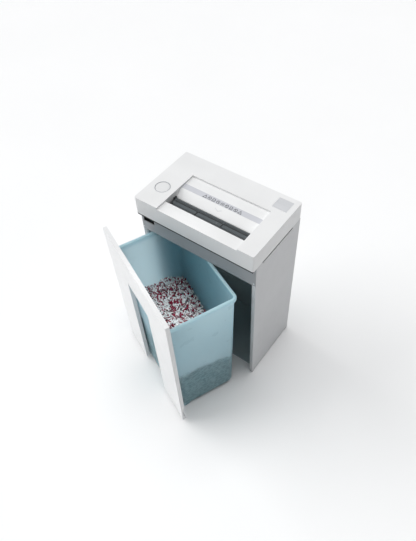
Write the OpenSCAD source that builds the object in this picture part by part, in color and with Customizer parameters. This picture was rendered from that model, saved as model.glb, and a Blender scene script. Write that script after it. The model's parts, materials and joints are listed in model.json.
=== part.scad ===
// Paper shredder: a head with the cutting works on a cabinet, over a
// free-standing bin that is drawn out at the front and turned.
// X to the right, front towards -Y, Z up; origin on the floor, under the cabinet's middle.

/* [Cabinet] */
// Width over the side walls
body_w = 335; // [333:1:340]
// Depth from the head's front to the back wall
body_d = 200; // [200:1:204]
// Overall height
body_h = 510; // [508:1:516]
// Height of the head above its parting line
head_h = 50; // [49:1:51]
// Thickness of the outer skins
skin = 3; // [2.5:0.1:3.2]
// Width of the return on each side wall's front edge
return_w = 12; // [8:0.5:12]
// Distance from the head's front to the fascia
fascia_set = 11; // [10.6:0.1:11]
// Height of the fascia's lower edge above the floor
fascia_z = 399; // [398.5:0.1:399.5]
// Distance from the head's front to the base plate
base_set = 30; // [25:1:60]

/* [Bin] */
// Thickness of the front panel
panel_t = 10; // [8:0.5:10]
// Height of the front panel's lower edge above the floor
panel_z = 8; // [6:0.5:12]
// Height of the front panel's upper edge above the floor
panel_top = 450; // [440:1:451]
// Width of each leg beside the panel's window
leg_w = 111; // [90:1:120]
// Height of the band over the panel's window
band_h = 93; // [80:1:110]
// Half the width of the tub's rim
rim_half_w = 145; // [138:1:145]
// Height of the tub's rim above the floor
rim_z = 396; // [380:1:396]
// Angle of the drawn-out bin
bin_yaw = 24; // [20:1:24]
// Travel of the bin's pivot from closed to drawn out
bin_travel = 112; // [112:1:130]

/* [Feed] */
// Left edge of the feed recess
slot_x0 = -98.5; // [-99:0.5:-98]
// Right edge of the feed recess
slot_x1 = 123.5; // [123:0.5:124]
// Depth of the recess in the head's top
recess = 5; // [4:0.5:5]
// Travel of the control button
button_travel = 1.2; // [0.8:0.1:1.5]
// Opening angle of the safety flap
flap_open = 50; // [30:1:50]

/* [Cutters] */
// Number of cutting discs on each shaft
disc_n = 24; // [10:1:24]
// Spacing of the discs along a shaft
disc_pitch = 9; // [9:0.1:9.2]
// Radius of a cutting disc
disc_r = 17.5; // [17:0.1:18]
// Distance between the two cutter shafts
shaft_gap = 32; // [32:0.5:32]

/* [Hidden] */
$fn = 48;

e = 0.02;
half_w = body_w / 2;
half_d = body_d / 2;
seam_z = body_h - head_h;
front = -half_d;
floor_gap = 2;
grip_front = 38;
grip_back = 165;
grip_h = 5;
wall_front = front + fascia_set + 0.6;
fascia_t = 2;
tray_z = 402;
tray_t = 2;

// Feed opening, measured from the head's front
recess_back = 137;
slot_front = 33;
slot_back = 69;
slope_back = 92;
label_back = 108;
recess_z = body_h - recess;
throat_z = 488;
slot_y0 = front + slot_front;
slot_y1 = front + slot_back;

// Control button
button_x = -133;
button_y = -36;
button_r = 17.4;

// Cutter shafts
shaft_mid_y = -49;
shaft_z = 431;
shaft_a_y = shaft_mid_y - shaft_gap / 2;
shaft_b_y = shaft_mid_y + shaft_gap / 2;
core_r = 11;
journal_r = 7;
disc_t = 4;
disc_x0 = -97;
plate_t = 3;
plate_l_x = -111;
plate_r_x = 128;
plate_z0 = 406;
plate_z1 = 482;
plate_y0 = -84;
plate_y1 = 70;
running = 0.35;

// Gear train: pinion, compound gear, drive wheel and two timing gears
timing_m = 2;
timing_n = 16;
drive_m = 1.5;
drive_n = 32;
second_n = 14;
first_m = 1;
first_n = 50;
pinion_n = 12;
drive_angle = 20;
motor_angle = -6;
compound_d = drive_m * (drive_n + second_n) / 2;
compound_y = shaft_b_y + compound_d * cos(drive_angle);
compound_z = shaft_z + compound_d * sin(drive_angle);
motor_d = first_m * (first_n + pinion_n) / 2;
motor_y = compound_y + motor_d * cos(motor_angle);
motor_z = compound_z + motor_d * sin(motor_angle);
motor_r = 27;
timing_x = -121;
drive_x = -131;
first_x = -141;
gear_w = 8;

// Flap hinge, tie rods, gear posts and the button's spring
flap_y = slot_y1 - 4.6;
flap_z = throat_z + 4.6;
flap_pin_r = 1.8;
rod_places = [[-78, 462], [-14, 464], [-8, 412]];
gear_posts_at = [[-38, 466], [46, 466], [46, 418]];
spring_turns = 5;
spring_r = 6.5;
spring_wire = 0.5;
spring_z0 = body_h - 16.5;
spring_h = 12.9;

// Places along the depth that several parts share
tray_front = wall_front + 3;
lip_x = half_w - return_w;
plate_notch_y = half_d - 14.5;
screw_ys = [-60, 10, 80];
screw_z = tray_z + 16;
badge_x = [116, 154];
badge_y = [52, 87];
magnet_x = half_w - 7.5;
magnet_z = [300, 330];
sensor_x = [-160, -127];
sensor_z = [428, 448];

// Bin, in its own frame: X along the panel, Y back from the panel's front face
pivot_x = -112;
pivot_back = 114;
pivot_out_y = front + pivot_back - bin_travel;
tub_z = 12;
tub_t = 2.5;
tub_front = 12.5;
tub_back = 184;
rim_h = 10;
rim_out = 5;
tub_low_half_w = 134;
panel_screw_x = 95;
panel_screw_zs = [60, 330];
scoop_z = 42;
scoop_r = 63.5;
scoop_depth = 6.5;
scoop_len = 30;

// Moves what is drawn in the bin's own frame to where the bin stands, drawn out and turned.
module in_bin() {
    translate([pivot_x, pivot_out_y, 0]) rotate(-bin_yaw) translate([-pivot_x, -pivot_back, 0])
        children();
}

module box(x0, x1, y0, y1, z0, z1) {
    translate([x0, y0, z0]) cube([x1 - x0, y1 - y0, z1 - z0]);
}

// A flat rectangle with round corners
module round_rect(x0, x1, y0, y1, r) {
    translate([x0 + r, y0]) square([x1 - x0 - 2 * r, y1 - y0]);
    translate([x0, y0 + r]) square([x1 - x0, y1 - y0 - 2 * r]);
    for (x = [x0 + r, x1 - r], y = [y0 + r, y1 - r]) translate([x, y]) circle(r);
}

module round_box(x0, x1, y0, y1, z0, z1, r) {
    translate([0, 0, z0]) linear_extrude(z1 - z0) round_rect(x0, x1, y0, y1, r);
}

// A rod along X
module rod(x0, x1, y, z, r) {
    translate([x0, y, z]) rotate([0, 90, 0]) cylinder(h = x1 - x0, r = r);
}

// A spur gear about X; turn sets where its first tooth points, measured from +Y towards +Z
module gear(x, y, z, m, n, bore, turn) {
    pitch_r = m * n / 2;
    root_r = pitch_r - 1.05 * m;
    foot_r = root_r - 0.5;
    tip_r = pitch_r + 0.75 * m;
    step = 360 / n;
    translate([x, y, z]) rotate([90, 0, 90]) linear_extrude(gear_w) difference() {
        union() {
            circle(root_r, $fn = 96);
            for (k = [0 : n - 1]) rotate(turn + k * step)
                polygon([[foot_r, -0.95 * m], [tip_r, -0.3 * m], [tip_r, 0.3 * m], [foot_r, 0.95 * m]]);
        }
        circle(bore);
    }
}

// One side wall, drawn on the right: skin, front return with its sloping lip, rear return
module side_wall() {
    difference() {
        union() {
            box(half_w - skin, half_w, front + fascia_set + fascia_t, half_d, floor_gap, seam_z);
            translate([0, 0, floor_gap]) linear_extrude(fascia_z - 0.4 - floor_gap) polygon([
                [half_w, wall_front], [half_w - 4, wall_front], [half_w - 4.8, wall_front + 0.8],
                [lip_x + 4, wall_front + 0.8], [lip_x, wall_front + 3.5], [lip_x, wall_front + 4.5],
                [half_w - skin + e, wall_front + 4.5], [half_w - skin + e, wall_front + 8],
                [half_w, wall_front + 8]]);
            box(half_w - 14, half_w - skin + e, half_d - skin - 2, half_d - skin, floor_gap, tray_z - 1);
        }
        box(half_w - skin - 1, half_w + 1, front + grip_front, front + grip_back,
            seam_z - grip_h, seam_z + 1);
    }
}

module right_side_wall() {
    color("gainsboro") side_wall();
}

module left_side_wall() {
    color("gainsboro") mirror([1, 0, 0]) side_wall();
}

module back_wall() {
    vent_n = 9;
    vent_x0 = -80;
    vent_pitch = 11;
    vent_w = 5;
    color("darkslategray") difference() {
        box(-half_w + skin, half_w - skin, half_d - skin, half_d, floor_gap, seam_z);
        for (x = [vent_x0 : vent_pitch : vent_x0 + (vent_n - 1) * vent_pitch])
            box(x, x + vent_w, half_d - skin - 1, half_d + 1, 412, 446);
        box(86, 114, half_d - skin - 1, half_d + 1, 420, 441);
    }
}

// Folded floor sheet that runs under the back wall, with a flange along each side;
// its rear corners are notched round the feet
module base_plate() {
    y0 = front + base_set;
    y1 = half_d - skin - 2;
    flange_x = half_w - skin - 1.2;
    plate_back = half_d - 0.5;
    color("darkslategray") difference() {
        union() {
            box(-half_w + skin + 0.2, half_w - skin - 0.2, y0, plate_back, 0, 1.5);
            for (s = [-1, 1]) box(s * flange_x - 1, s * flange_x + 1, y0, y1, 1.5 - e, 12);
        }
        for (s = [-1, 1]) box(s * half_w - 10.5, s * half_w + 10.5, plate_notch_y, half_d, -1, 13);
    }
}

module cabinet_feet() {
    color("dimgray") for (s = [-1, 1], y = [wall_front + 1, half_d - 14])
        round_box(s * (half_w - 5) - 4.8, s * (half_w - 5) + 4.8, y, y + 12, 0, floor_gap, 2);
}

module front_fascia() {
    y0 = front + fascia_set;
    y1 = y0 + fascia_t;
    color("slategray") difference() {
        union() {
            box(-half_w + 1, half_w - 1, y0, y1, fascia_z, seam_z - 1);
            box(-half_w + skin + 1, half_w - skin - 1, y1 - e, y0 + 8, fascia_z, fascia_z + 1.5);
        }
        box(sensor_x[0], sensor_x[1], y0 - 1, y1 + 1, sensor_z[0], sensor_z[1]);
    }
}

module fascia_rivets() {
    color("silver") for (s = [-1, 1], z = [fascia_z + 7, seam_z - 8])
        translate([s * (half_w - 5), front + fascia_set, z]) rotate([90, 0, 0]) cylinder(h = 0.5, r = 2);
}

module chassis_tray() {
    tray_back = half_d - skin - 0.2;
    flange_x = half_w - skin - 1.1;
    color("slategray") difference() {
        union() {
            box(-half_w + skin + 0.1, half_w - skin - 0.1, tray_front, tray_back, tray_z, tray_z + tray_t);
            for (s = [-1, 1])
                box(s * flange_x - 1, s * flange_x + 1, tray_front, tray_back, tray_z + 1, tray_z + 26);
        }
        box(slot_x0 - 4, slot_x1 + 2, -82, -13, tray_z - 1, tray_z + tray_t + 1);
        for (s = [-1, 1], y = screw_ys)
            translate([s * half_w, y, screw_z]) rotate([0, 90, 0]) cylinder(h = 20, r = 2, center = true);
    }
}

module chassis_screws() {
    color("silver") for (s = [-1, 1], y = screw_ys)
        translate([s * (half_w - skin - 2.1), y, screw_z]) rotate([0, -s * 90, 0]) {
            cylinder(h = 2.2, r = 4);
            translate([0, 0, -2.1]) cylinder(h = 2.2, r = 2);
        }
}

// Cross-section of the head's top along Y, cut away to form the recess, slope and throat
module head_cut() {
    translate([slot_x0, 0, 0]) rotate([90, 0, 90]) linear_extrude(slot_x1 - slot_x0) polygon([
        [front - 1, body_h + 1], [front - 1, recess_z], [slot_y0, recess_z], [slot_y0, throat_z - 6],
        [slot_y1, throat_z - 6], [slot_y1, throat_z + 3], [front + slope_back, recess_z],
        [front + recess_back, recess_z], [front + recess_back, body_h + 1]]);
}

// The hollow under the head's top, which follows the recess and the slope
module head_hollow() {
    difference() {
        round_box(-half_w + skin, half_w - skin, front + skin, half_d - skin, seam_z - 1, body_h - skin, 2);
        translate([slot_x0 - skin, 0, 0]) rotate([90, 0, 90])
            linear_extrude(slot_x1 - slot_x0 + 2 * skin) polygon([
                [front, body_h], [front, recess_z - skin], [slot_y0 - 2, recess_z - skin],
                [slot_y0 - 2, throat_z], [slot_y1 + 2, throat_z], [slot_y1 + 3, throat_z + 1],
                [front + slope_back, recess_z - skin], [front + recess_back + skin, recess_z - skin],
                [front + recess_back + skin, body_h]]);
    }
}

module head_cover() {
    color("whitesmoke") difference() {
        round_box(-half_w, half_w, front, half_d, seam_z, body_h, 4);
        head_hollow();
        head_cut();
        translate([button_x, button_y, body_h - 5]) cylinder(h = 6, r = button_r + 2);
        box(badge_x[0], badge_x[1], badge_y[0], badge_y[1], body_h - 0.6, body_h + 1);
    }
}

module button_ring() {
    color("silver") translate([button_x, button_y, body_h - skin]) difference() {
        cylinder(h = skin + 0.3, r = button_r + 1.95);
        translate([0, 0, -1]) cylinder(h = skin + 2, r = button_r + 0.5);
    }
}

module control_button() {
    color("whitesmoke") translate([button_x, button_y, 0]) {
        translate([0, 0, body_h - 3]) cylinder(h = 3, r = button_r);
        translate([0, 0, body_h - 12]) cylinder(h = 9.1, r = 4);
    }
}

// Centre line of the button's spring at a share t of its height, from 0 to 1
function spring_at(t) = let (a = 360 * spring_turns * t) [spring_r * cos(a), spring_r * sin(a), spring_h * t];

module button_spring() {
    rings = 16 * spring_turns;
    sides = 8;
    points = [for (i = [0 : rings], k = [0 : sides - 1])
        let (a = 360 * spring_turns * i / rings, b = 360 * k / sides, c = spring_at(i / rings))
        c + spring_wire * [cos(b) * cos(a), cos(b) * sin(a), sin(b)]];
    walls = [for (i = [0 : rings - 1], k = [0 : sides - 1])
        [i * sides + k, (i + 1) * sides + k, (i + 1) * sides + (k + 1) % sides, i * sides + (k + 1) % sides]];
    ends = [[for (k = [0 : sides - 1]) k], [for (k = [sides - 1 : -1 : 0]) rings * sides + k]];
    color("silver") translate([button_x, button_y, spring_z0]) polyhedron(points, concat(walls, ends));
}

module button_bracket() {
    color("seagreen") difference() {
        union() {
            round_box(button_x - 20, button_x + 20, button_y - 18, button_y + 18,
                body_h - 19, body_h - 17.2, 2);
            for (sx = [-1, 1], sy = [-1, 1])
                translate([button_x + 16 * sx, button_y + 14 * sy, body_h - 17.3])
                    cylinder(h = 14.3, r = 2.2);
        }
        translate([button_x, button_y, body_h - 20]) cylinder(h = 4, r = 4.6);
    }
}

module badge_plate() {
    color("silver") round_box(badge_x[0] + 0.3, badge_x[1] - 0.3, badge_y[0] + 0.3, badge_y[1] - 0.3,
        body_h - 0.6, body_h, 1);
}

module label_strip() {
    color("lightsteelblue") box(slot_x0 + 0.4, slot_x1 - 0.4, front + slope_back + 0.3, front + label_back,
        recess_z, recess_z + 0.4);
}

// Dark liner of the feed slot, with a bearing for the flap's pin at each end
module flap_frame() {
    y0 = slot_y0 + 0.1;
    y1 = slot_y1 - 0.1;
    x0 = slot_x0 + 0.1;
    x1 = slot_x1 - 0.1;
    z0 = throat_z - 6;
    color("darkslategray") difference() {
        union() {
            difference() {
                box(x0, x1, y0, y1, z0, throat_z + 2);
                box(x0 + 1.6, x1 - 1.6, y0 + 1.6, y1 - 1.6, z0 - 1, throat_z + 3);
            }
            for (x = [x0, x1 - 4]) box(x, x + 4, y1 - 9, y1, z0, throat_z + 8);
        }
        for (x = [x0 - 1, x1 - 5]) rod(x, x + 6, flap_y, flap_z, flap_pin_r + running);
    }
}

module safety_flap() {
    x0 = slot_x0 + 4.6;
    x1 = slot_x1 - 4.6;
    y0 = slot_y0 + 2.6;
    rib_gap = (x1 - x0) / 3;
    color("dimgray") {
        rod(slot_x0 + 0.6, slot_x1 - 0.6, flap_y, flap_z, flap_pin_r);
        box(x0, x1, y0, flap_y + 0.4, flap_z - 1, flap_z + 1);
        for (x = [x0 + rib_gap, x0 + 2 * rib_gap])
            box(x - 0.8, x + 0.8, y0, flap_y, flap_z + 1 - e, flap_z + 2);
        box(x0, x1, y0, y0 + 5, flap_z + 1 - e, flap_z + 1.8);
    }
}

// One sloping plate of the throat, drawn from its upper to its lower edge
module feed_guide(y_top, y_low) {
    half_t = 0.6;
    translate([slot_x0 - 4, 0, 0]) rotate([90, 0, 90]) linear_extrude(slot_x1 - slot_x0 + 6)
        polygon([[y_top - half_t, 481], [y_top + half_t, 481], [y_low + half_t, 453], [y_low - half_t, 453]]);
}

module feed_guide_front() {
    color("lightslategray") feed_guide(slot_y0 + 1, shaft_mid_y - 6);
}

module feed_guide_rear() {
    color("lightslategray") feed_guide(slot_y1 - 1, shaft_mid_y + 6);
}

module photo_sensor() {
    color("black") for (y = [-72, -30]) box(8, 18, y, y + 6, 462, 474);
}

// The outline of a frame plate, with its bearing seats and rod holes
module frame_plate(x) {
    difference() {
        box(x, x + plate_t, plate_y0, plate_y1, plate_z0, plate_z1);
        for (y = [shaft_a_y, shaft_b_y]) rod(x - 1, x + plate_t + 1, y, shaft_z, core_r);
        for (p = rod_places) rod(x - 1, x + plate_t + 1, p[0], p[1], 2.5);
    }
}

module frame_plate_left() {
    color("lightgray") difference() {
        frame_plate(plate_l_x);
        rod(plate_l_x - 1, plate_l_x + plate_t + 1, motor_y, motor_z, 8);
        rod(plate_l_x - 1, plate_l_x + plate_t + 1, compound_y, compound_z, 4);
    }
}

module frame_plate_right() {
    color("lightgray") frame_plate(plate_r_x);
}

module tie_rods() {
    color("silver") for (p = rod_places) {
        rod(plate_l_x + plate_t, plate_r_x, p[0], p[1], 4);
        rod(plate_l_x - 5, plate_r_x + plate_t + 5, p[0], p[1], 2.5);
    }
}

module shaft_bearings() {
    color("goldenrod") for (x = [plate_l_x - 1, plate_r_x - 1], y = [shaft_a_y, shaft_b_y]) difference() {
        rod(x, x + 6, y, shaft_z, core_r);
        rod(x - 1, x + 7, y, shaft_z, journal_r + running);
    }
}

// Outline of a cutter shaft, as length along X and radius: journals, core and discs
function cutter_outline(x_end, x_disc) = concat(
    [[x_end, 0], [x_end, journal_r], [-102, journal_r], [-102, core_r]],
    [for (k = [0 : disc_n - 1]) let (x = x_disc + k * disc_pitch)
        each [[x, core_r], [x, disc_r], [x + disc_t, disc_r], [x + disc_t, core_r]]],
    [[125.5, core_r], [125.5, journal_r], [135, journal_r], [135, 0]]);

module cutter_shaft(y, x_end, x_disc, hand) {
    notch_n = 6;
    translate([0, y, shaft_z]) difference() {
        rotate([0, 90, 0]) rotate_extrude($fn = 64)
            polygon([for (p = cutter_outline(x_end, x_disc)) [p[1], p[0]]]);
        for (k = [0 : notch_n - 1]) rotate([k * 360 / notch_n, 0, 0]) translate([x_disc - 0.5, 0, 0])
            rotate([90, 0, 90]) linear_extrude(disc_n * disc_pitch)
                polygon([[hand * -0.5, disc_r + 1], [hand * -0.5, core_r + 2.5], [hand * 4.5, disc_r + 1]]);
    }
}

module cutter_shaft_a() {
    color("darkgray") cutter_shaft(shaft_a_y, timing_x - 1, disc_x0, 1);
}

module cutter_shaft_b() {
    color("darkgray") cutter_shaft(shaft_b_y, drive_x - 1, disc_x0 + disc_pitch / 2, -1);
}

module timing_gear_a() {
    color("darkgray") gear(timing_x, shaft_a_y, shaft_z, timing_m, timing_n, journal_r, 0);
}

module timing_gear_b() {
    color("darkgray") gear(timing_x, shaft_b_y, shaft_z, timing_m, timing_n, journal_r, 180 / timing_n);
}

module drive_wheel() {
    color("darkgray") gear(drive_x, shaft_b_y, shaft_z, drive_m, drive_n, journal_r, drive_angle);
}

// A row of fingers that reaches into the gaps between one shaft's discs, on a bar
module stripper_comb(y_bar, y_tip, x_gap) {
    bar_y0 = min(y_bar, y_bar + sign(y_bar - y_tip) * 2.6);
    box(plate_l_x + plate_t, plate_r_x, bar_y0, bar_y0 + 2.6, 425, 437);
    for (k = [0 : disc_n - 2]) box(x_gap + k * disc_pitch, x_gap + k * disc_pitch + 3.8,
        min(y_bar, y_tip) - e, max(y_bar, y_tip) + e, 428, 434);
}

module stripper_comb_front() {
    color("lightslategray") stripper_comb(shaft_a_y - disc_r - 0.6, shaft_a_y - core_r - 0.6,
        disc_x0 + disc_t + 0.6);
}

module stripper_comb_rear() {
    color("lightslategray") stripper_comb(shaft_b_y + disc_r + 0.6, shaft_b_y + core_r + 0.6,
        disc_x0 + disc_pitch / 2 + disc_t + 0.6);
}

module compound_gear() {
    second_turn = drive_angle + 180 + 180 / second_n;
    color("gray") difference() {
        union() {
            gear(drive_x, compound_y, compound_z, drive_m, second_n, 1, second_turn);
            gear(first_x, compound_y, compound_z, first_m, first_n, 1, motor_angle);
            rod(first_x + gear_w - e, drive_x + e, compound_y, compound_z, 7);
        }
        rod(first_x - 1, drive_x + gear_w + 1, compound_y, compound_z, 4 + running);
    }
}

module gear_axle() {
    color("silver") rod(-148, plate_l_x + plate_t, compound_y, compound_z, 4);
}

module gear_plate() {
    color("lightgray") difference() {
        box(-148, -145, -45, 52, 412, 474);
        rod(-149, -144, compound_y, compound_z, 4);
        for (p = gear_posts_at) rod(-149, -144, p[0], p[1], 2.5);
    }
}

module gear_posts() {
    color("silver") for (p = gear_posts_at) {
        rod(-145, plate_l_x, p[0], p[1], 3.5);
        rod(-150, -145 + e, p[0], p[1], 2.5);
    }
}

module motor_can() {
    color("dimgray") difference() {
        rod(plate_l_x + plate_t, 12, motor_y, motor_z, motor_r);
        rod(-102, 8, motor_y, motor_z, motor_r - 2.5);
        rod(-120, 20, motor_y, motor_z, 3 + running);
    }
}

module motor_stator() {
    color("peru") difference() {
        rod(-88, -10, motor_y, motor_z, motor_r - 2.5);
        rod(-89, -9, motor_y, motor_z, 15);
    }
}

module motor_rotor() {
    color("silver") {
        rod(first_x - 1, 15, motor_y, motor_z, 3);
        rod(-84, -14, motor_y, motor_z, 14.4);
    }
}

module motor_pinion() {
    color("gray") gear(first_x, motor_y, motor_z, first_m, pinion_n, 3, motor_angle + 180 + 180 / pinion_n);
}

module control_board() {
    color("seagreen") box(30, 122, -4, 62, 466, 467.6);
    color("black") box(38, 62, 4, 24, 467.6, 482);
    color("darkorange") box(70, 92, 6, 26, 467.6, 480);
    color("silver") box(40, 110, 44, 48, 467.6, 486);
    color("black") for (x = [70 : 14 : 112]) translate([x, 35, 467.6]) cylinder(h = 13, r = 4.5);
    color("gainsboro") for (x = [34, 118], y = [0, 58]) translate([x, y, 404]) cylinder(h = 62, r = 2.5);
}

module run_capacitor() {
    color("lightgray") rod(40, 96, 24, 424, 15);
    color("dimgray") box(48, 88, 19, 29, tray_z + tray_t, 410);
}

module interlock_switch() {
    color("black") difference() {
        box(sensor_x[0] - 2, sensor_x[1] + 2, front + fascia_set + fascia_t, -66,
            sensor_z[0] - 3, sensor_z[1] + 3);
        box(sensor_x[0], sensor_x[1], front + fascia_set, -72, sensor_z[0], sensor_z[1]);
    }
}

module power_inlet() {
    color("black") difference() {
        union() {
            box(86, 114, 74, half_d, 420, 441);
            box(82, 118, half_d, half_d + 1, 416, 445);
        }
        box(88, 112, 80, half_d + 2, 422, 439);
    }
}

module inlet_pins() {
    color("silver") {
        box(99, 101, 80, 92, 433, 437);
        for (x = [93, 105]) box(x, x + 2, 80, 92, 425, 429);
    }
}

module door_magnets() {
    color("dimgray") for (s = [-1, 1]) box(s * magnet_x - 4, s * magnet_x + 4,
        wall_front + 4.5, wall_front + 9, magnet_z[0], magnet_z[1]);
}

// Tub outline as a solid that narrows downwards; inset makes the space inside it
module tub_form(inset, z0, z1) {
    hull() {
        round_box(-tub_low_half_w + inset, tub_low_half_w - inset, tub_front + 1.5 + inset,
            tub_back - 3 - inset, z0, z0 + 0.1, 22 - inset, $fn = 32);
        round_box(-rim_half_w + rim_out + inset, rim_half_w - rim_out - inset, tub_front + inset,
            tub_back - inset, z1 - 0.1, z1, 9 - inset, $fn = 32);
    }
}

module bin_tub() {
    foot_x = 96;
    foot_half = 36;
    foot_front = 15;
    foot_back = 41;
    color("lightblue") in_bin() difference() {
        union() {
            tub_form(0, tub_z, rim_z - 2);
            round_box(-rim_half_w, rim_half_w, panel_t + 0.2, tub_back + rim_out,
                rim_z - rim_h, rim_z, 10, $fn = 32);
            for (s = [-1, 1]) round_box(s * foot_x - foot_half, s * foot_x + foot_half, foot_front, foot_back,
                floor_gap, tub_z + 1, 4, $fn = 32);
        }
        tub_form(tub_t, tub_z + tub_t, rim_z + 2);
        for (s = [-1, 1], z = panel_screw_zs)
            translate([s * panel_screw_x, 0, z]) rotate([-90, 0, 0]) cylinder(h = 30, r = 2.2, $fn = 16);
    }
}

// Front panel: an arch of two legs and a band, with a finger scoop behind each lower outer end
module front_panel() {
    color("whitesmoke") in_bin() difference() {
        box(-half_w, half_w, 0, panel_t, panel_z, panel_top);
        box(-half_w + leg_w, half_w - leg_w, -1, panel_t + 1, panel_z - 1, panel_top - band_h);
        for (x = [-half_w - 1, half_w - scoop_len])
            rod(x, x + scoop_len + 1, panel_t - scoop_depth + scoop_r, scoop_z, scoop_r, $fn = 96);
        for (s = [-1, 1], z = panel_screw_zs)
            translate([s * panel_screw_x, 4, z]) rotate([-90, 0, 0]) cylinder(h = 10, r = 1.8);
    }
}

module panel_screws() {
    color("silver") in_bin() for (s = [-1, 1], z = panel_screw_zs)
        translate([s * panel_screw_x, 0, z]) rotate([-90, 0, 0]) {
            translate([0, 0, 5]) cylinder(h = 12.5, r = 1.8);
            translate([0, 0, 17.2]) cylinder(h = 2.5, r = 4);
        }
}

module catch_plates() {
    color("silver") in_bin() for (s = [-1, 1])
        box(s * magnet_x - 4, s * magnet_x + 4, panel_t, panel_t + 1, magnet_z[0], magnet_z[1]);
}

module rear_glides() {
    color("dimgray") in_bin() for (x = [-95, 95])
        translate([x, 160, floor_gap]) cylinder(h = tub_z - floor_gap, r = 9);
}

module pivot_socket() {
    color("dimgray") in_bin() translate([pivot_x, pivot_back, tub_z - 3.6]) difference() {
        cylinder(h = 3.6, r = 7);
        translate([0, 0, -1]) cylinder(h = 6, r = 3 + running);
    }
}

module swivel_glide() {
    color("dimgray") in_bin() translate([pivot_x, pivot_back, floor_gap]) {
        cylinder(h = 4, r = 9);
        cylinder(h = tub_z - floor_gap - 0.5, r = 3);
    }
}

left_side_wall();
right_side_wall();
back_wall();
base_plate();
cabinet_feet();
front_fascia();
fascia_rivets();
chassis_tray();
chassis_screws();
head_cover();
button_ring();
control_button();
button_spring();
button_bracket();
badge_plate();
label_strip();
flap_frame();
safety_flap();
feed_guide_front();
feed_guide_rear();
photo_sensor();
frame_plate_left();
frame_plate_right();
tie_rods();
shaft_bearings();
cutter_shaft_a();
cutter_shaft_b();
timing_gear_a();
timing_gear_b();
drive_wheel();
stripper_comb_front();
stripper_comb_rear();
compound_gear();
gear_axle();
gear_plate();
gear_posts();
motor_can();
motor_stator();
motor_rotor();
motor_pinion();
control_board();
run_capacitor();
interlock_switch();
power_inlet();
inlet_pins();
door_magnets();
bin_tub();
front_panel();
panel_screws();
catch_plates();
rear_glides();
pivot_socket();
swivel_glide();
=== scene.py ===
import json
import math
import random

import bmesh
import bpy
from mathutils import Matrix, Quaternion, Vector

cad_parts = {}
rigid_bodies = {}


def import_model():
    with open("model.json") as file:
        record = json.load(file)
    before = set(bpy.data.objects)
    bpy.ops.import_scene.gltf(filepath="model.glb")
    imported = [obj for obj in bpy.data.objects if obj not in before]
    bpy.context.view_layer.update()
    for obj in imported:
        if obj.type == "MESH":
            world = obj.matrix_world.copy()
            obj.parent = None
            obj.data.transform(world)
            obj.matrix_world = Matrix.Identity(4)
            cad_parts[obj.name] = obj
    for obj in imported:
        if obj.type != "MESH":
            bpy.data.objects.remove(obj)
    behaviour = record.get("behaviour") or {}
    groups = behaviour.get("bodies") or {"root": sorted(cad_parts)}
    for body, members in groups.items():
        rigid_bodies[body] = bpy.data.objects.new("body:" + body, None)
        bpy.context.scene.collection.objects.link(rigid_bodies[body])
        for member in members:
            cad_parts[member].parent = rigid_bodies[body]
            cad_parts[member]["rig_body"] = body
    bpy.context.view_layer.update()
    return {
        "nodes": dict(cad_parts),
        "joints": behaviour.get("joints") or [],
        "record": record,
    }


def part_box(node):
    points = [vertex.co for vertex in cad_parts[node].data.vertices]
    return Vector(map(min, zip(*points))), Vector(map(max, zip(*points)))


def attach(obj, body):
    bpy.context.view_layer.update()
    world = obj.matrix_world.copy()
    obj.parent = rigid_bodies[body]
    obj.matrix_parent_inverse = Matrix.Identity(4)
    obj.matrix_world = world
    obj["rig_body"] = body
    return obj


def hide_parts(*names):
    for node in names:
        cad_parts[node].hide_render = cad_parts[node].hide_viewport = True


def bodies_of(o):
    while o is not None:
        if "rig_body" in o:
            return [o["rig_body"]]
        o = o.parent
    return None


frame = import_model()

# Looks of the paper shredder. Meshes are drawn in millimetres and made in metres.
MM = 0.001

# The camera: place in metres, aim, roll in degrees, lens and sensor in millimetres
CAMERA_PLACE = (0.5459, -0.7078, 1.3430)
CAMERA_AIM = (-0.40545, 0.48847, -0.77266)
CAMERA_ROLL = -4.09
CAMERA_LENS = 34.98
CAMERA_SENSOR = 36.0

# The tub, in the bin's own frame: X along the panel, Y back from the panel's front face
TUB_BOTTOM = 12.0
TUB_WALL_TOP = 394.0
TUB_WALL = 2.5
TUB_LOW = (134.0, 14.0, 181.0, 22.0)
TUB_HIGH = (140.0, 12.5, 184.0, 9.0)
RIM_FRONT_SHARE = 0.46
CORNER_STEPS = 8

# The heap of shredded paper, in the bin's own frame
HEAP_MIDDLE = 190.0
HEAP_LEAN = 0.17
HEAP_BACK_FROM = 95.0
HEAP_BACK_DROP = 32.0
PAPER_ROOM = 0.4
BLOCK_FLOOR = 15.0

# The loose strips of paper
SHRED_COUNT = 3300
SHRED_SEED = 11
STRIP_STEPS = 4
STRIP_LENGTH = (10, 17)
STRIP_WIDTH = (2.7, 3.5)
STRIP_BEND = (0.2, 2.4)
STRIP_TILT = 0.34
STRIP_LIFT = (-3.0, 3.5)
STRIP_MARGIN = 1
CRIMSON_SHARE = 0.35

# Where the imported paper shows through the walls, as mottle and painted shade: height at the
# bin's origin, rise along X and Y
FILL_LINE = (161.0, 0.16, -0.195)
# How uneven that line is, and how softly it ends below and above, in metres
FILL_RAGGED = 0.011
FILL_SOFT = (0.004, 0.003)

# How dark a plain material's darker patches are, and the height of a fine bump in metres
PATCH_SHADE = 0.94
BUMP_HEIGHT = 0.0004

# Features in a metre of the tub's plastic: its patches, its mottle, its gloss and its grain
TUB_PATCHES = 6.0
TUB_MOTTLE = 110.0
TUB_GLOSS = 30.0
TUB_GRAIN = 500.0
MOTTLE_RANGE = (0.42, 0.56)
MOTTLE_STRETCH = (1, 1, 1.7)

# A CAD mesh is joined up where its points are this near, in metres, and its faces this flat;
# edges sharper than this are rounded, both in degrees
WELD_DISTANCE = 0.00001
FLAT_ANGLE = 0.6
ROUNDED_ANGLE = 32

FLOOR_HALF = 12000
FLOOR_DROP = 0.0002
SKY_COLOUR = (0.94, 0.97, 1.0, 1)
SKY_STRENGTH = 0.21


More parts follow.
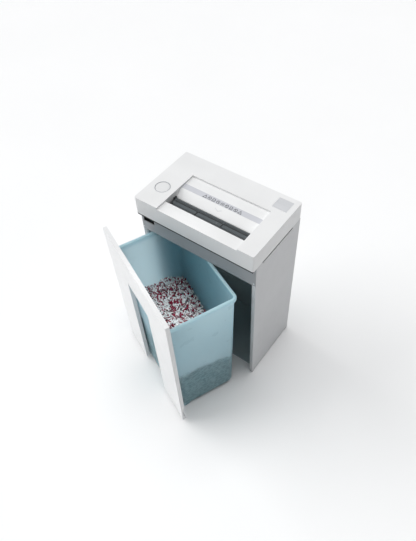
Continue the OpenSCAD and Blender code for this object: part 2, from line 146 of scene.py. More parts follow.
def millimetres(corner):
    return Vector(corner) / MM


def joint(name):
    return next(j for j in frame["joints"] if j["name"] == name)


HEAD_LOW, HEAD_HIGH = (millimetres(c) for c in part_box("head_cover"))
PIVOT = millimetres(joint("bin_turn")["pos_m"])
BIN_YAW = math.radians(joint("bin_turn")["range_deg"][1])
BIN_TRAVEL = joint("bin_slide")["range_m"][1] / MM
PIVOT_BACK = PIVOT.y + BIN_TRAVEL - HEAD_LOW.y


def in_bin(point):
    """A point of the bin's own frame, moved to where the bin stands, drawn out and turned."""
    x, y, z = point
    across, back = x - PIVOT.x, y - PIVOT_BACK
    return (
        PIVOT.x + math.cos(BIN_YAW) * across + math.sin(BIN_YAW) * back,
        PIVOT.y - math.sin(BIN_YAW) * across + math.cos(BIN_YAW) * back,
        z,
    )


def blend(low, high, share):
    return low + (high - low) * share


# Materials


def noise(tree, source, scale, detail=3.0):
    node = tree.nodes.new("ShaderNodeTexNoise")
    node.inputs["Scale"].default_value = scale
    node.inputs["Detail"].default_value = detail
    tree.links.new(source, node.inputs["Vector"])
    return node.outputs["Fac"]


def spread(tree, source, low, high, start=0.3, end=0.7):
    node = tree.nodes.new("ShaderNodeMapRange")
    node.inputs["From Min"].default_value = start
    node.inputs["From Max"].default_value = end
    node.inputs["To Min"].default_value = low
    node.inputs["To Max"].default_value = high
    tree.links.new(source, node.inputs["Value"])
    return node.outputs["Result"]


def two_colours(tree, factor, first, second):
    node = tree.nodes.new("ShaderNodeMix")
    node.data_type = "RGBA"
    node.inputs["A"].default_value = (*first, 1)
    node.inputs["B"].default_value = (*second, 1)
    tree.links.new(factor, node.inputs["Factor"])
    return node.outputs["Result"]


def new_material(name):
    """A new node material, its tree and its shader."""
    made = bpy.data.materials.new(name)
    made.use_nodes = True
    return made, made.node_tree, made.node_tree.nodes["Principled BSDF"]


def add_bump(tree, shader, source, strength, distance=BUMP_HEIGHT):
    bump = tree.nodes.new("ShaderNodeBump")
    bump.inputs["Strength"].default_value = strength
    bump.inputs["Distance"].default_value = distance
    tree.links.new(source, bump.inputs["Height"])
    tree.links.new(bump.outputs["Normal"], shader.inputs["Normal"])


def object_place(tree, stretch):
    place = tree.nodes.new("ShaderNodeTexCoord")
    sizing = tree.nodes.new("ShaderNodeMapping")
    sizing.inputs["Scale"].default_value = stretch
    tree.links.new(place.outputs["Object"], sizing.inputs["Vector"])
    return sizing.outputs["Vector"]


def surface(name, colour, gloss, metallic=0.0, shade=PATCH_SHADE, patch=9.0, grain=900.0,
            depth=0.1, stretch=(1, 1, 1)):
    """A material with colour patches, uneven gloss and a fine grain, all in object space.

    gloss is the lowest and highest roughness, shade how dark the darker patches are,
    patch and grain how many features there are in a metre, and depth the grain's strength."""
    made, tree, shader = new_material(name)
    shader.inputs["Metallic"].default_value = metallic
    place = object_place(tree, stretch)
    patches = spread(tree, noise(tree, place, patch, 4.0), 0.0, 1.0)
    darker = [c * shade for c in colour]
    tree.links.new(two_colours(tree, patches, darker, colour), shader.inputs["Base Color"])
    uneven = spread(tree, noise(tree, place, patch * 6), *gloss)
    tree.links.new(uneven, shader.inputs["Roughness"])
    add_bump(tree, shader, noise(tree, place, grain, 2.0), depth)
    return made


def above_fill(tree, place):
    """0 where packed paper lies against the tub's wall and 1 above it, with an uneven edge."""
    middle, rise_x, rise_y = FILL_LINE
    across = Vector((math.cos(BIN_YAW), -math.sin(BIN_YAW), 0))
    back = Vector((math.sin(BIN_YAW), math.cos(BIN_YAW), 0))
    slope = across * rise_x + back * rise_y
    origin = Vector((PIVOT.x, PIVOT.y, 0)) - across * PIVOT.x - back * PIVOT_BACK
    height = tree.nodes.new("ShaderNodeVectorMath")
    height.operation = "DOT_PRODUCT"
    height.inputs[1].default_value = Vector((0, 0, 1)) - slope
    tree.links.new(place, height.inputs[0])
    ragged = spread(tree, noise(tree, place, 70.0, 5.0), -FILL_RAGGED, FILL_RAGGED)
    level = tree.nodes.new("ShaderNodeMath")
    level.operation = "ADD"
    tree.links.new(height.outputs["Value"], level.inputs[0])
    tree.links.new(ragged, level.inputs[1])
    line = (middle - slope.dot(origin)) * MM
    below, above = FILL_SOFT
    return spread(tree, level.outputs["Value"], 0.0, 1.0, line - below, line + above)


def translucent(name, clear, packed, packed_painted_shade, through, share, gloss):
    """The tub's cloudy plastic, which lets a share of the light through: evenly coloured above
    the fill line; below it mottled by the paper behind the wall, with painted shade where that
    paper keeps the light out."""
    made, tree, shader = new_material(name)
    glow = tree.nodes.new("ShaderNodeBsdfTranslucent")
    glow.inputs["Color"].default_value = (*through, 1)
    mixed = tree.nodes.new("ShaderNodeMixShader")
    mixed.inputs["Fac"].default_value = share
    tree.links.new(shader.outputs["BSDF"], mixed.inputs[1])
    tree.links.new(glow.outputs["BSDF"], mixed.inputs[2])
    tree.links.new(mixed.outputs["Shader"], tree.nodes["Material Output"].inputs["Surface"])
    place = object_place(tree, (1, 1, 1))
    darker = [c * PATCH_SHADE for c in clear]
    patches = spread(tree, noise(tree, place, TUB_PATCHES), 0.0, 1.0)
    plain = two_colours(tree, patches, darker, clear)
    flat = object_place(tree, MOTTLE_STRETCH)
    # Below the fill line: the packed paper's mottle, darkened by painted shade where the paper
    # blocks the light through the wall
    mottle = spread(tree, noise(tree, flat, TUB_MOTTLE, 4.0), 0.0, 1.0, *MOTTLE_RANGE)
    paper = two_colours(tree, mottle, packed_painted_shade, packed)
    both = tree.nodes.new("ShaderNodeMix")
    both.data_type = "RGBA"
    tree.links.new(above_fill(tree, place), both.inputs["Factor"])
    tree.links.new(paper, both.inputs["A"])
    tree.links.new(plain, both.inputs["B"])
    tree.links.new(both.outputs["Result"], shader.inputs["Base Color"])
    uneven = spread(tree, noise(tree, place, TUB_GLOSS), *gloss)
    tree.links.new(uneven, shader.inputs["Roughness"])
    add_bump(tree, shader, noise(tree, place, TUB_GRAIN, 2.0), 0.05)
    return made


def speckled(name, light, dark, cell, gloss):
    """A material of many small flecks in two colours, for packed paper, with painted shade that
    darkens the lower flecks as if they lay in hollows.
    """
    made, tree, shader = new_material(name)
    shader.inputs["Roughness"].default_value = gloss
    place = object_place(tree, (1, 1, 1.8))
    cells = tree.nodes.new("ShaderNodeTexVoronoi")
    cells.inputs["Scale"].default_value = cell
    tree.links.new(place, cells.inputs["Vector"])
    parts = tree.nodes.new("ShaderNodeSeparateColor")
    tree.links.new(cells.outputs["Color"], parts.inputs["Color"])
    fleck = spread(tree, parts.outputs["Red"], 0.0, 1.0, 0.62, 0.66)
    flecks = two_colours(tree, fleck, light, dark)
    # Painted shade: each fleck is darker the lower it lies, as in the hollows between pieces
    painted_hollow_shade = spread(tree, parts.outputs["Green"], 0.45, 1.0, 0.0, 0.7)
    depth = tree.nodes.new("ShaderNodeMix")
    depth.data_type = "RGBA"
    depth.blend_type = "MULTIPLY"
    depth.inputs["Factor"].default_value = 1.0
    tree.links.new(flecks, depth.inputs["A"])
    tree.links.new(painted_hollow_shade, depth.inputs["B"])
    tree.links.new(depth.outputs["Result"], shader.inputs["Base Color"])
    add_bump(tree, shader, parts.outputs["Green"], 0.8, distance=0.002)
    return made


BRUSHED = (1, 30, 30)

LOOKS = {
    "white_wall": {"colour": (0.64, 0.645, 0.655), "gloss": (0.36, 0.46), "grain": 1500,
                   "depth": 0.12},
    "white_head": {"colour": (0.86, 0.862, 0.862), "gloss": (0.38, 0.48), "grain": 2200,
                   "depth": 0.08},
    "white_panel": {"colour": (0.85, 0.853, 0.856), "gloss": (0.34, 0.44), "grain": 1500},
    "slate_steel": {"colour": (0.42, 0.48, 0.49), "gloss": (0.42, 0.55), "grain": 1400,
                    "depth": 0.15},
    "fascia_steel": {"colour": (0.41, 0.42, 0.435), "gloss": (0.36, 0.48), "grain": 1400,
                     "depth": 0.12, "shade": 0.86},
    "bright_steel": {"colour": (0.62, 0.63, 0.64), "gloss": (0.22, 0.38), "grain": 300,
                     "metallic": 1.0, "stretch": BRUSHED},
    "cutter_steel": {"colour": (0.40, 0.41, 0.43), "gloss": (0.24, 0.42), "grain": 300,
                     "depth": 0.15, "shade": 0.8, "metallic": 1.0, "stretch": BRUSHED},
    "gear_steel": {"colour": (0.46, 0.46, 0.47), "gloss": (0.26, 0.42), "grain": 1200,
                   "depth": 0.15, "shade": 0.82, "patch": 40, "metallic": 1.0},
    "bearing_bronze": {"colour": (0.62, 0.44, 0.22), "gloss": (0.3, 0.45), "grain": 2000,
                       "depth": 0.2, "shade": 0.8, "patch": 60, "metallic": 1.0},
    "black_plastic": {"colour": (0.018, 0.019, 0.021), "gloss": (0.42, 0.55), "grain": 1800,
                      "depth": 0.15, "shade": 0.75},
    "smoked_plastic": {"colour": (0.115, 0.130, 0.138), "gloss": (0.16, 0.28), "grain": 800,
                       "depth": 0.04, "shade": 0.85},
    "button_plastic": {"colour": (0.82, 0.822, 0.825), "gloss": (0.32, 0.42), "grain": 2200,
                       "depth": 0.06},
    "ring_plastic": {"colour": (0.68, 0.70, 0.72), "gloss": (0.2, 0.32), "patch": 60,
                     "metallic": 0.3},
    "label_film": {"colour": (0.64, 0.65, 0.69), "gloss": (0.3, 0.4), "grain": 1500,
                   "depth": 0.03},
    "badge_metal": {"colour": (0.70, 0.71, 0.73), "gloss": (0.34, 0.46), "grain": 500,
                    "depth": 0.06, "metallic": 0.2, "stretch": (1, 12, 1)},
    "circuit_board": {"colour": (0.03, 0.20, 0.09), "gloss": (0.25, 0.4), "shade": 0.6,
                      "patch": 180},
    "motor_paint": {"colour": (0.05, 0.055, 0.06), "gloss": (0.35, 0.5), "grain": 1600,
                    "shade": 0.8},
    "winding_copper": {"colour": (0.60, 0.26, 0.10), "gloss": (0.25, 0.4), "grain": 600,
                       "depth": 0.6, "shade": 0.7, "patch": 50, "metallic": 1.0},
    "capacitor_can": {"colour": (0.70, 0.71, 0.73), "gloss": (0.25, 0.38), "grain": 200,
                      "metallic": 1.0, "stretch": BRUSHED},
    "glide_plastic": {"colour": (0.035, 0.036, 0.038), "gloss": (0.55, 0.7), "grain": 1800,
                      "depth": 0.2, "shade": 0.8},
}
MATERIALS = {slot: surface(slot, **look) for slot, look in LOOKS.items()}
MATERIALS["tub_plastic"] = translucent(
    "tub_plastic", clear=(0.62, 0.86, 0.93), packed=(0.62, 0.88, 0.93),
    packed_painted_shade=(0.13, 0.34, 0.40), through=(0.88, 0.97, 0.99), share=0.62, gloss=(0.26, 0.34))
# The tub's inner walls and floor: a darker, deeper blue copy of the plastic, which is painted
# shade
TUB_INSIDE_SHADED = translucent(
    "tub_inside_painted_shade", clear=(0.12, 0.48, 0.64), packed=(0.30, 0.60, 0.68),
    packed_painted_shade=(0.10, 0.28, 0.34), through=(0.84, 0.93, 0.95), share=0.78, gloss=(0.26, 0.34))
PAPER_WHITE = surface("paper_white", (0.99, 0.99, 0.985), (0.6, 0.75), shade=0.95, patch=160,
                      depth=0.05)
PAPER_CRIMSON = surface("paper_crimson", (0.36, 0.010, 0.055), (0.5, 0.65), shade=0.6, patch=160,
                        depth=0.05)
# The packed paper's grey and dark crimson are the white and crimson paper in painted shade
PACKED_PAPER_SHADED = speckled("packed_paper", (0.36, 0.38, 0.385), (0.12, 0.01, 0.02), 230.0, 0.7)
# Rivets: a light, barely metallic colour, partly zinc's own and partly a painted sheen in place
# of the metal's reflection
RIVET_ZINC_AND_SHEEN = surface("rivet_zinc_and_sheen", (0.78, 0.79, 0.80), (0.25, 0.35), metallic=0.2, patch=60)
PRINT_GREY = surface("print_grey", (0.13, 0.135, 0.145), (0.35, 0.45), shade=0.85, patch=300)

SLOT_OF = {row["node"]: row["material_slot"] for row in frame["record"]["subparts"]}


# Meshes


def add_piece(name, points, faces, body, material, sharp=35.0):
    """A new piece from points in millimetres, riding on a body."""
    mesh = bpy.data.meshes.new(name)
    mesh.from_pydata([Vector(p) * MM for p in points], [], faces)
    mesh.materials.append(material)
    mesh.polygons.foreach_set("use_smooth", [True] * len(mesh.polygons))
    mesh.set_sharp_from_angle(angle=math.radians(sharp))
    mesh.update()
    piece = bpy.data.objects.new(name, mesh)
    bpy.context.collection.objects.link(piece)
    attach(piece, body)
    return piece


def body_of(node):
    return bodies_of(frame["nodes"][node])[0]


def joined_faces(source):
    """A copy of a CAD mesh with its split points welded and its flat faces joined up."""
    mesh = source.copy()
    for layer in ("custom_normal", "sharp_edge", "sharp_face"):
        if layer in mesh.attributes:
            mesh.attributes.remove(mesh.attributes[layer])
    work = bmesh.new()
    work.from_mesh(mesh)
    bmesh.ops.remove_doubles(work, verts=work.verts, dist=WELD_DISTANCE)
    bmesh.ops.dissolve_limit(work, angle_limit=math.radians(FLAT_ANGLE), verts=work.verts,
                             edges=work.edges)
    work.to_mesh(mesh)
    work.free()
    mesh.materials.clear()
    return mesh


def add_finished(node, rounding):
    """The piece that stands for a CAD node: its own shape with its sharp edges rounded."""
    mesh = joined_faces(frame["nodes"][node].data)
    mesh.materials.append(RIVET_ZINC_AND_SHEEN if node == "fascia_rivets" else MATERIALS[SLOT_OF[node]])
    mesh.polygons.foreach_set("use_smooth", [True] * len(mesh.polygons))
    piece = bpy.data.objects.new(node + "_finished", mesh)
    bpy.context.collection.objects.link(piece)
    edges = piece.modifiers.new("rounding", "BEVEL")
    edges.width = rounding * MM
    edges.segments = 3
    edges.limit_method = "ANGLE"
    edges.angle_limit = math.radians(ROUNDED_ANGLE)
    edges.harden_normals = True
    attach(piece, body_of(node))
    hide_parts(node)


def paint(node):
    """A CAD node that keeps its mesh and takes its slot's material."""
    cad = frame["nodes"][node]
    material = MATERIALS[SLOT_OF[node]]
    if not cad.material_slots:
        cad.data.materials.append(material)
    for place in cad.material_slots:
        place.material = material


# CAD nodes drawn again from scratch, and the rounding in millimetres of those that are kept
REBUILT = ("bin_tub", "control_button")
ROUNDED = {
    "head_cover": 1.3, "left_side_wall": 0.7, "right_side_wall": 0.7, "back_wall": 0.5,
    "base_plate": 0.35, "cabinet_feet": 0.4, "front_fascia": 0.45, "chassis_tray": 0.4,
    "badge_plate": 0.2, "label_strip": 0.12, "flap_frame": 0.3, "safety_flap": 0.3,
    "front_panel": 1.4, "interlock_switch": 0.5, "power_inlet": 0.5, "inlet_pins": 0.3,
    "door_magnets": 0.5, "catch_plates": 0.25, "frame_plate_left": 0.4, "frame_plate_right": 0.4,
    "gear_plate": 0.4, "control_board": 0.3, "fascia_rivets": 0.22, "button_ring": 0.15,
    "photo_sensor": 0.4, "rear_glides": 0.6,
}


# The tub


def ring(x0, x1, y0, y1, radius, z):
    """Points round a rectangle with round corners."""
    points = []
    corners = ((x1 - radius, y1 - radius), (x0 + radius, y1 - radius),
               (x0 + radius, y0 + radius), (x1 - radius, y0 + radius))
    for quarter, (x, y) in enumerate(corners):
        for step in range(CORNER_STEPS + 1):
            angle = math.pi / 2 * (quarter + step / CORNER_STEPS)
            points.append((x + radius * math.cos(angle), y + radius * math.sin(angle), z))
    return points


def tub_size(z):
    """The tub's half width, front, back and corner radius at height z."""
    share = (z - TUB_BOTTOM) / (TUB_WALL_TOP - TUB_BOTTOM)
    return [blend(low, high, share) for low, high in zip(TUB_LOW, TUB_HIGH)]


def tub_ring(offset, z):
    """The tub's outline at height z, moved outwards by offset."""
    half, front, back, radius = tub_size(z)
    to_front = offset * RIM_FRONT_SHARE if offset > 0 else offset
    return ring(-half - offset, half + offset, front - to_front, back + offset,
                max(radius + offset, 1.0), z)


def loft(rings, caps=True):
    """Points and faces of a surface through rings of equal length, closed at both ends."""
    points = [p for one in rings for p in one]
    count = len(rings[0])
    faces = []
    for level in range(len(rings) - 1):
        for k in range(count):
            a, b = level * count + k, level * count + (k + 1) % count
            faces.append((a, b, b + count, a + count))
    if caps:
        faces.append(tuple(reversed(range(count))))
        faces.append(tuple(range(len(points) - count, len(points))))
    return points, faces


def joined(shapes):
    """Several points-and-faces pairs as one."""
    points, faces = [], []
    for some_points, some_faces in shapes:
        faces += [tuple(i + len(points) for i in face) for face in some_faces]
        points += some_points
    return points, faces


def add_tub():
    """The tub: profiles of (distance outwards, height) pairs, from its foot to its floor."""
    rim_z, skirt_z, inside = 396.0, 386.0, -TUB_WALL
    outer_foot = [(-9, 12), (-5, 12), (-2.2, 12.7), (-0.6, 14.4), (0, 17)]
    under_rim = [(0, 391), (0.5, 392.4), (1.6, 392.9), (2.6, 392.4), (2.9, 391), (3, 388),
                 (3.1, skirt_z + 0.6), (3.6, skirt_z), (4.4, skirt_z), (4.9, skirt_z + 0.6)]
    bead = [(5, skirt_z + 2), (5, rim_z - 3.4), (4.6, rim_z - 1.7), (3.6, rim_z - 0.5),
            (2.2, rim_z), (-0.6, rim_z), (-1.7, rim_z - 0.4), (-2.3, rim_z - 1.2),
            (inside, rim_z - 2.4)]
    floor = [(inside, 22), (-3.0, 18), (-4.4, 15.6), (-7, 14.6), (-10, 14.5)]
    shell = loft([tub_ring(d, z) for d, z in outer_foot + under_rim + bead + floor])
    foot_middle, foot_half, foot_front, foot_back, foot_radius = 96, 36, 15, 41, 4.0
    feet = []
    for side in (-1, 1):
        x0, x1 = side * foot_middle - foot_half, side * foot_middle + foot_half
        feet.append(loft([ring(x0 + d, x1 - d, foot_front + d, foot_back - d, foot_radius - d, z)
                          for d, z in ((1.2, 2), (0.4, 2.3), (0, 3.2), (0, 12.6))]))
    points, faces = joined([shell, *feet])
    tub = add_piece("shred_tub", [in_bin(p) for p in points], faces, "bin",
                    MATERIALS["tub_plastic"], sharp=50)
    # The inner walls and floor take the copy of the plastic that carries painted shade
    tub.data.materials.append(TUB_INSIDE_SHADED)
    around = 4 * (CORNER_STEPS + 1)
    wall_from = len(outer_foot + under_rim + bead) - 1
    for face in tub.data.polygons[wall_from * around:(wall_from + len(floor)) * around]:
        face.material_index = 1
    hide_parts("bin_tub")


# Shredded paper


def heap_height(x, y):
    """Height of the paper's surface over a point of the bin's own frame."""
    behind = max(y - HEAP_BACK_FROM, 0) / (TUB_HIGH[2] - TUB_WALL - HEAP_BACK_FROM)
    waves = 2.5 * math.sin(x / 17) * math.cos(y / 13) + 1.5 * math.sin(x / 7 + y / 9)
    return HEAP_MIDDLE - HEAP_LEAN * x - HEAP_BACK_DROP * behind ** 2 + waves


def inner_limits(z):
    """Half width, front and back of the space inside the tub at height z."""
    half, front, back, _ = tub_size(z)
    room = TUB_WALL + PAPER_ROOM
    return half - room, front + room, back - room


def add_packed_paper():
    """The body of paper under the loose strips: a lofted block with a wavy top."""
    outline = tub_ring(-TUB_WALL - 0.6, TUB_BOTTOM + 6)
    centre_y = (TUB_LOW[1] + TUB_LOW[2]) / 2
    rings = [[(x, y, BLOCK_FLOOR) for x, y, _ in outline]]
    rings += [[(x, y, blend(BLOCK_FLOOR, heap_height(x, y), share)) for x, y, _ in outline]
              for share in (0.3, 0.6, 0.97)]
    for share in (0.98, 0.9, 0.75, 0.6, 0.45, 0.3, 0.15, 0.02):
        pulled = [(x * share, centre_y + (y - centre_y) * share) for x, y, _ in outline]
        rings.append([(x, y, heap_height(x, y) - 2.0) for x, y in pulled])
    points, faces = loft(rings)
    add_piece("packed_shreds", [in_bin(p) for p in points], faces, "bin", PACKED_PAPER_SHADED)


def strip(dice, x, y, z):
    """One curled strip of paper: a narrow ribbon bent round an arc and tipped at random."""
    length, width = dice.uniform(*STRIP_LENGTH), dice.uniform(*STRIP_WIDTH)
    bend = dice.uniform(*STRIP_BEND) * dice.choice((-1, 1))
    heading = Quaternion((0, 0, 1), dice.uniform(0, 2 * math.pi))
    tip = Quaternion((0, 1, 0), dice.gauss(0, STRIP_TILT))
    roll = Quaternion((1, 0, 0), dice.gauss(0, STRIP_TILT))
    turn = heading @ tip @ roll
    points = []
    for k in range(STRIP_STEPS + 1):
        angle = bend * (k / STRIP_STEPS - 0.5)
        along = length / bend * math.sin(angle)
        up = length / bend * (1 - math.cos(angle))
        for side in (-width / 2, width / 2):
            points.append(Vector((x, y, z)) + turn @ Vector((along, side, up)))
    faces = [(2 * k, 2 * k + 1, 2 * k + 3, 2 * k + 2) for k in range(STRIP_STEPS)]
    return points, faces


def add_loose_shreds():
    dice = random.Random(SHRED_SEED)
    kinds = {"white": [], "crimson": []}
    for _ in range(SHRED_COUNT):
        half, front, back = inner_limits(HEAP_MIDDLE)
        x = dice.uniform(-half + STRIP_MARGIN, half - STRIP_MARGIN)
        y = dice.uniform(front + STRIP_MARGIN, back - STRIP_MARGIN)
        z = heap_height(x, y) + dice.uniform(*STRIP_LIFT)
        points, faces = strip(dice, x, y, z)
        kept = []
        for p in points:
            half, front, back = inner_limits(p.z)
            kept.append((min(max(p.x, -half), half), min(max(p.y, front), back), p.z))
        kinds["crimson" if dice.random() < CRIMSON_SHARE else "white"].append((kept, faces))
    for kind, material in (("white", PAPER_WHITE), ("crimson", PAPER_CRIMSON)):
        points, faces = joined(kinds[kind])
        add_piece("shreds_" + kind, [in_bin(p) for p in points], faces, "bin", material)


# Marks on the head


def stroke(path, width, height, closed):
    """A flat raised line along a path in its own plane, with mitred corners."""
    count = len(path)
    left, right = [], []
    for k, point in enumerate(path):
        here = Vector(point)
        before = Vector(path[k - 1]) if closed or k else None
        after = Vector(path[(k + 1) % count]) if closed or k < count - 1 else None
        came = (here - before).normalized() if before else (after - here).normalized()
        goes = (after - here).normalized() if after else came
        across = Vector((-(came + goes).y, (came + goes).x)).normalized()
        reach = width / 2 / max(across.dot(Vector((-goes.y, goes.x))), 0.4)
        left.append(here + across * reach)
        right.append(here - across * reach)
    points = [(p.x, p.y, h) for h in (0.0, height) for side in (left, right) for p in side]
    faces = []
    for k in range(count if closed else count - 1):
        n = (k + 1) % count
        low_left, low_right, high_left, high_right = 0, count, 2 * count, 3 * count
        faces.append((high_left + k, high_right + k, high_right + n, high_left + n))
        faces.append((low_left + k, high_left + k, high_left + n, low_left + n))
        faces.append((low_right + n, high_right + n, high_right + k, low_right + k))
    return points, faces


def moved(shape, dx, dy, dz):
    points, faces = shape
    return [(x + dx, y + dy, z + dz) for x, y, z in points], faces


def circle(radius, sides=24):
    angles = [2 * math.pi * k / sides for k in range(sides)]
    return [(radius * math.cos(angle), radius * math.sin(angle)) for angle in angles]


def pictogram(kind, height):
    """One plain sign: a triangle, a ring, a sheet or a row of bars."""
    line = 1.4
    if kind == "triangle":
        return stroke([(-4.6, -4.4), (4.6, -4.4), (0, 4.2)], line, height, True)
    if kind == "ring":
        cross = stroke([(-2.6, 2.6), (2.6, -2.6)], line, height, False)
        return joined([stroke(circle(4.2), line, height, True), cross])
    if kind == "sheet":
        outline = [(-3.4, -4.4), (3.4, -4.4), (3.4, 2.2), (1.4, 4.4), (-3.4, 4.4)]
        return joined([stroke(outline, line, height, True),
                       stroke([(-1.6, -0.6), (1.6, -0.6)], line, height, False)])
    return joined([stroke([(x, -4.2), (x, 4.2)], line, height, False) for x in (-3.4, 0, 3.4)])


def add_label_marks():
    """A row of plain signs on the label strip, none of them lettering."""
    low, high = (millimetres(c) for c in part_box("label_strip"))
    kinds = ("triangle", "ring", "sheet", "ring", "bars", "ring", "sheet", "ring", "triangle")
    pitch, first_x, middle_y, height = 12.2, -32.0, (low.y + high.y) / 2 - 1.5, 0.12
    shapes = [moved(pictogram(kind, height), first_x + pitch * k, middle_y, high.z)
              for k, kind in enumerate(kinds)]
    points, faces = joined(shapes)
    add_piece("label_marks", points, faces, "cabinet", PRINT_GREY)


def add_feed_mark():
    """The shallow raised V on the slope, which points down into the feed slot."""
    slope_top = Vector((0, -8.0, 505.0))
    slope_low = Vector((0, -31.0, 491.0))
    down = (slope_low - slope_top).normalized()
    out = Vector((1, 0, 0)).cross(down).normalized() * -1
    middle_x, half, start, point_at, line, height = 15.5, 9.5, 9.0, 14.2, 0.9, 0.25
    path = [(-half, -start), (0, -point_at), (half, -start)]
    points, faces = stroke(path, line, height, False)
    start_at = slope_top + Vector((middle_x, 0, 0))
    placed = [start_at + Vector((x, 0, 0)) - down * y + out * z for x, y, z in points]
    add_piece("feed_mark", placed, faces, "cabinet", MATERIALS["label_film"])


def add_black(name, shapes, body):
    points, faces = joined(shapes)
    add_piece(name, points, faces, body, MATERIALS["black_plastic"])


def add_flap_ribs():
    """Fine slanting ribs along the flap's front and rear strips."""
    low, high = (millimetres(c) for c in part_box("safety_flap"))
    count, inset, plate_z = 56, 10, high.z - 1.05
    strips_y = (low.y + 7.2, high.y - 8.4)
    rib = stroke([(-1.0, 0), (1.0, 4.6)], 1.0, 0.5, False)
    shapes = []
    for k in range(count):
        x = blend(low.x + inset, high.x - inset, k / (count - 1))
        shapes += [moved(rib, x, y, plate_z) for y in strips_y]
    add_black("flap_ribs", shapes, "safety_flap")


def add_flap_edging():
    """Dark edging on the flap: before its rear strip, over its cross ribs, at its front ends."""
    low, high = (millimetres(c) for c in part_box("safety_flap"))
    x0, x1 = low.x + 4.2, high.x - 4.2
    front_y, rear_y, plate_z = low.y + 6.2, high.y - 9.8, high.z - 1.0
    shapes = [moved(stroke([(x0, rear_y), (x1, rear_y)], 1.5, 0.7, False), 0, 0, plate_z)]
    for third in (1 / 3, 2 / 3):
        x = blend(x0, x1, third)
        rib = stroke([(x, front_y), (x, rear_y - 0.8)], 2.0, 1.1, False)
        shapes.append(moved(rib, 0, 0, plate_z))
    end_width, end_depth, end_height = 4.4, 5.6, 1.8
    for x in (x0 + end_width / 2, x1 - end_width / 2):
        end = stroke([(x, front_y), (x, front_y + end_depth)], end_width, end_height, False)
        shapes.append(moved(end, 0, 0, plate_z))
    add_black("flap_edging", shapes, "safety_flap")


def band(outer, inner, lower, upper):
    """A closed flat band between two outlines of equal length, from one height to another."""
    rings = [[(x, y, z) for x, y in line] for line, z in
             ((outer, lower), (outer, upper), (inner, upper), (inner, lower), (outer, lower))]
    return loft(rings, caps=False)


def rectangle(x, y0, y1):
    return [(-x, y0), (x, y0), (x, y1), (-x, y1)]


def add_head_shadow_gap():
    """Dark strips that are a painted shadow in the gap under the head: a ring in the joint over
    the walls, and a front lip.
    """
    setback, joint_z = 0.45, HEAD_LOW.z
    outer_x, back_y, front_y = HEAD_HIGH.x - setback, HEAD_HIGH.y - setback, HEAD_LOW.y + 0.8
    reach, seam_low, seam_high = 1.6, joint_z - 0.75, joint_z + 0.5
    seam = band(rectangle(outer_x, front_y, back_y),
                rectangle(outer_x - reach, front_y + reach, back_y - reach), seam_low, seam_high)
    lip_x, lip_back, lip_wall, lip_low = outer_x - 1.5, HEAD_LOW.y + 3.0, 0.5, joint_z - 4.6
    lip = band(rectangle(lip_x, front_y, lip_back),
               rectangle(lip_x - lip_wall, front_y + lip_wall, lip_back - lip_wall),
               lip_low, joint_z)
    # Black strips standing in for the shadow in the gap under the head
    add_black("head_shadow_gap", [seam, lip], "cabinet")


def add_button():
    """The control button: a shallow dome with a soft edge, its stem and its spring's pocket."""
    low, high = (millimetres(c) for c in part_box("control_button"))
    middle = (low + high) / 2
    radius = (high.x - low.x) / 2
    stem, pocket, pocket_z, skirt_z, top = 4, 9, high.z - 1.6, high.z - 3, high.z
    profile = [(0.2, low.z), (stem, low.z), (stem, pocket_z), (pocket, pocket_z),
               (pocket + 0.6, skirt_z), (radius - 0.5, skirt_z), (radius, skirt_z + 0.5),
               (radius, top - 1.0), (radius - 0.25, top - 0.45), (radius - 0.8, top - 0.15),
               (radius - 2, top - 0.05), (radius * 0.6, top), (0.2, top)]
    unit = circle(1.0, 64)
    rings = [[(middle.x + r * x, middle.y + r * y, z) for x, y in unit] for r, z in profile]
    points, faces = loft(rings)
    button = add_piece("control_button_finished", points, faces, "control_button",
                       MATERIALS["button_plastic"])
    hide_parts("control_button")


# Stage


def add_floor():
    corners = [(x, y, 0) for x, y in rectangle(FLOOR_HALF, -FLOOR_HALF, FLOOR_HALF)]
    mesh = bpy.data.meshes.new("floor")
    mesh.from_pydata([Vector(p) * MM for p in corners], [], [(0, 1, 2, 3)])
    pale = surface("floor_pale", (0.97, 0.97, 0.97), (0.7, 0.8), shade=0.985, patch=2)
    mesh.materials.append(pale)
    floor = bpy.data.objects.new("floor", mesh)
    floor.location.z = -FLOOR_DROP
    bpy.context.collection.objects.link(floor)


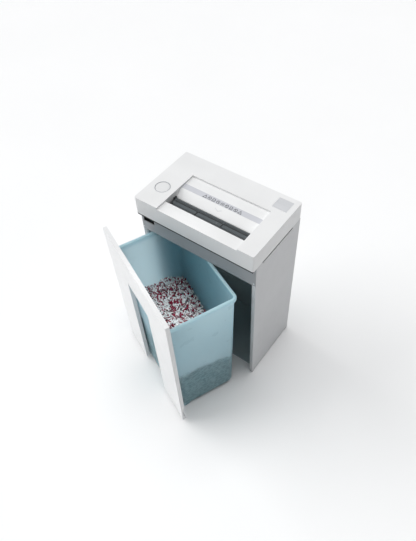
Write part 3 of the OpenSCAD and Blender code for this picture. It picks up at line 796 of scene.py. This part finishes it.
def add_light(data, toward, place=(0, 0, 0)):
    light = bpy.data.objects.new(data.name, data)
    light.location = place
    light.rotation_mode = "QUATERNION"
    light.rotation_quaternion = Vector(toward).to_track_quat("-Z", "Y")
    bpy.context.collection.objects.link(light)


def add_soft_sun(name, toward, width, strength):
    """A distant soft lamp; width is the angle it fills in the sky, in degrees."""
    data = bpy.data.lights.new(name, "SUN")
    data.angle = math.radians(width)
    data.energy = strength
    add_light(data, toward)


def add_spot(name, target, offset, width, power):
    """A soft spot lamp at an offset from its target; width is its cone, in degrees."""
    data = bpy.data.lights.new(name, "SPOT")
    data.spot_size = math.radians(width)
    data.spot_blend = 0.8
    data.shadow_soft_size = 0.08
    data.energy = power
    add_light(data, -offset, target + offset)


def add_lights():
    world = bpy.data.worlds.new("studio")
    world.use_nodes = True
    sky = world.node_tree.nodes["Background"]
    sky.inputs["Color"].default_value = SKY_COLOUR
    sky.inputs["Strength"].default_value = SKY_STRENGTH
    bpy.context.scene.world = world
    add_soft_sun("overhead", (0.03, -0.14, -1.0), 50, 1.72)
    heap = Vector(in_bin((10, 90, HEAP_MIDDLE))) * MM
    add_spot("bin_spot", heap, Vector((0.0, -0.05, 1.4)), 8.5, 24)
    add_soft_sun("left_key", (0.86, 0.30, -0.46), 60, 1.95)


def add_camera():
    data = bpy.data.cameras.new("camera")
    data.lens = CAMERA_LENS
    data.sensor_width = CAMERA_SENSOR
    camera = bpy.data.objects.new("camera", data)
    camera.location = CAMERA_PLACE
    camera.rotation_mode = "QUATERNION"
    aim = Vector(CAMERA_AIM).to_track_quat("-Z", "Y")
    camera.rotation_quaternion = aim @ Quaternion((0, 0, 1), math.radians(CAMERA_ROLL))
    bpy.context.collection.objects.link(camera)
    bpy.context.scene.camera = camera


for node_name in frame["nodes"]:
    if node_name in ROUNDED:
        add_finished(node_name, ROUNDED[node_name])
    elif node_name not in REBUILT:
        paint(node_name)
add_tub()
add_packed_paper()
add_loose_shreds()
add_label_marks()
add_feed_mark()
add_flap_ribs()
add_flap_edging()
add_head_shadow_gap()
add_button()
add_floor()
add_lights()
add_camera()
bpy.context.scene.view_settings.view_transform = "Standard"
